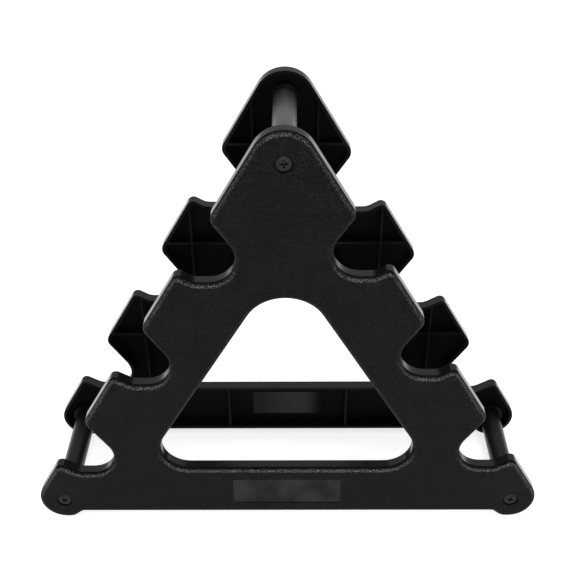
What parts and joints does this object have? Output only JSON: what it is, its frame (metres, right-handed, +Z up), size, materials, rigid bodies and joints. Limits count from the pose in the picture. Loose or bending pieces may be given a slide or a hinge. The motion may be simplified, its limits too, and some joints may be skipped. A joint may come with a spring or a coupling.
{
  "type": "hand weight rack",
  "caption": "A-frame rack that holds hand weights by their handles in cradles up both sides, with a tube across the top to carry it by.",
  "frame": {"origin": "on the floor, midway between the two side frames and under the top tube", "axes": "+X across the width, to the right of someone facing the front frame; +Y from the front frame to the rear one; +Z up"},
  "size_m": [0.4, 0.109, 0.345],
  "materials": {
    "frame_plastic": "black, leather grain outside, smooth edges and inside",
    "tube_steel": "black satin powder coat",
    "plug_plastic": "black, plain",
    "insert_brass": "turned",
    "screw_steel": "black oxide"
  },
  "bodies": {
    "root": {"front_side_frame": "frame_plastic", "rear_side_frame": "frame_plastic", "top_handle_tube": "tube_steel", "front_top_handle_plug": "plug_plastic", "front_top_handle_insert": "insert_brass", "front_top_handle_screw": "screw_steel", "rear_top_handle_plug": "plug_plastic", "rear_top_handle_insert": "insert_brass", "rear_top_handle_screw": "screw_steel", "left_foot_tube": "tube_steel", "front_left_foot_plug": "plug_plastic", "front_left_foot_insert": "insert_brass", "front_left_foot_screw": "screw_steel", "rear_left_foot_plug": "plug_plastic", "rear_left_foot_insert": "insert_brass", "rear_left_foot_screw": "screw_steel", "right_foot_tube": "tube_steel", "front_right_foot_plug": "plug_plastic", "front_right_foot_insert": "insert_brass", "front_right_foot_screw": "screw_steel", "rear_right_foot_plug": "plug_plastic", "rear_right_foot_insert": "insert_brass", "rear_right_foot_screw": "screw_steel"}
  },
  "joints": []
}
